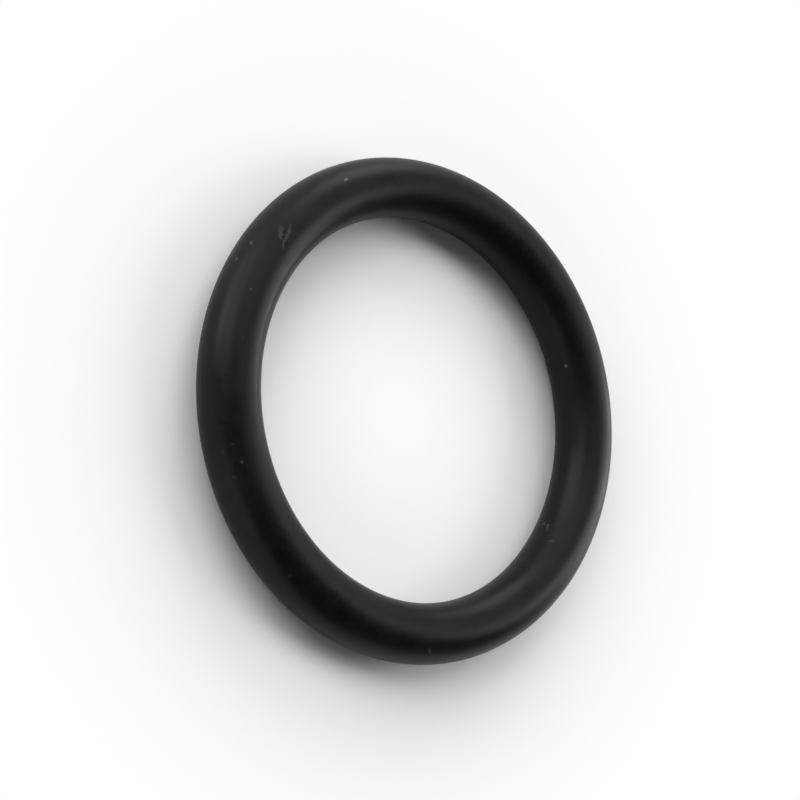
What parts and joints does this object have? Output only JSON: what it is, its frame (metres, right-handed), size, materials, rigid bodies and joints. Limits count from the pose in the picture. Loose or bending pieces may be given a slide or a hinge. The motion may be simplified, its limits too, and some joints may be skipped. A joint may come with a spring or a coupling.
{
  "type": "o-ring",
  "caption": "Round black rubber sealing ring of circular section, squeezed in a groove to seal a rod, plug or flange.",
  "frame": {"origin": "centre of the ring, on its axis and halfway up its section", "axes": "+Z along the ring's axis, up as the ring lies flat; X and Y in the parting plane, either way round because the ring is a body of revolution"},
  "size_m": [0.045, 0.045, 0.0054],
  "materials": {
    "black_rubber": "moulded black nitrile rubber, satin, with a few pale dust specks and one small scuff"
  },
  "bodies": {
    "root": {"o_ring": "black_rubber"}
  },
  "joints": []
}
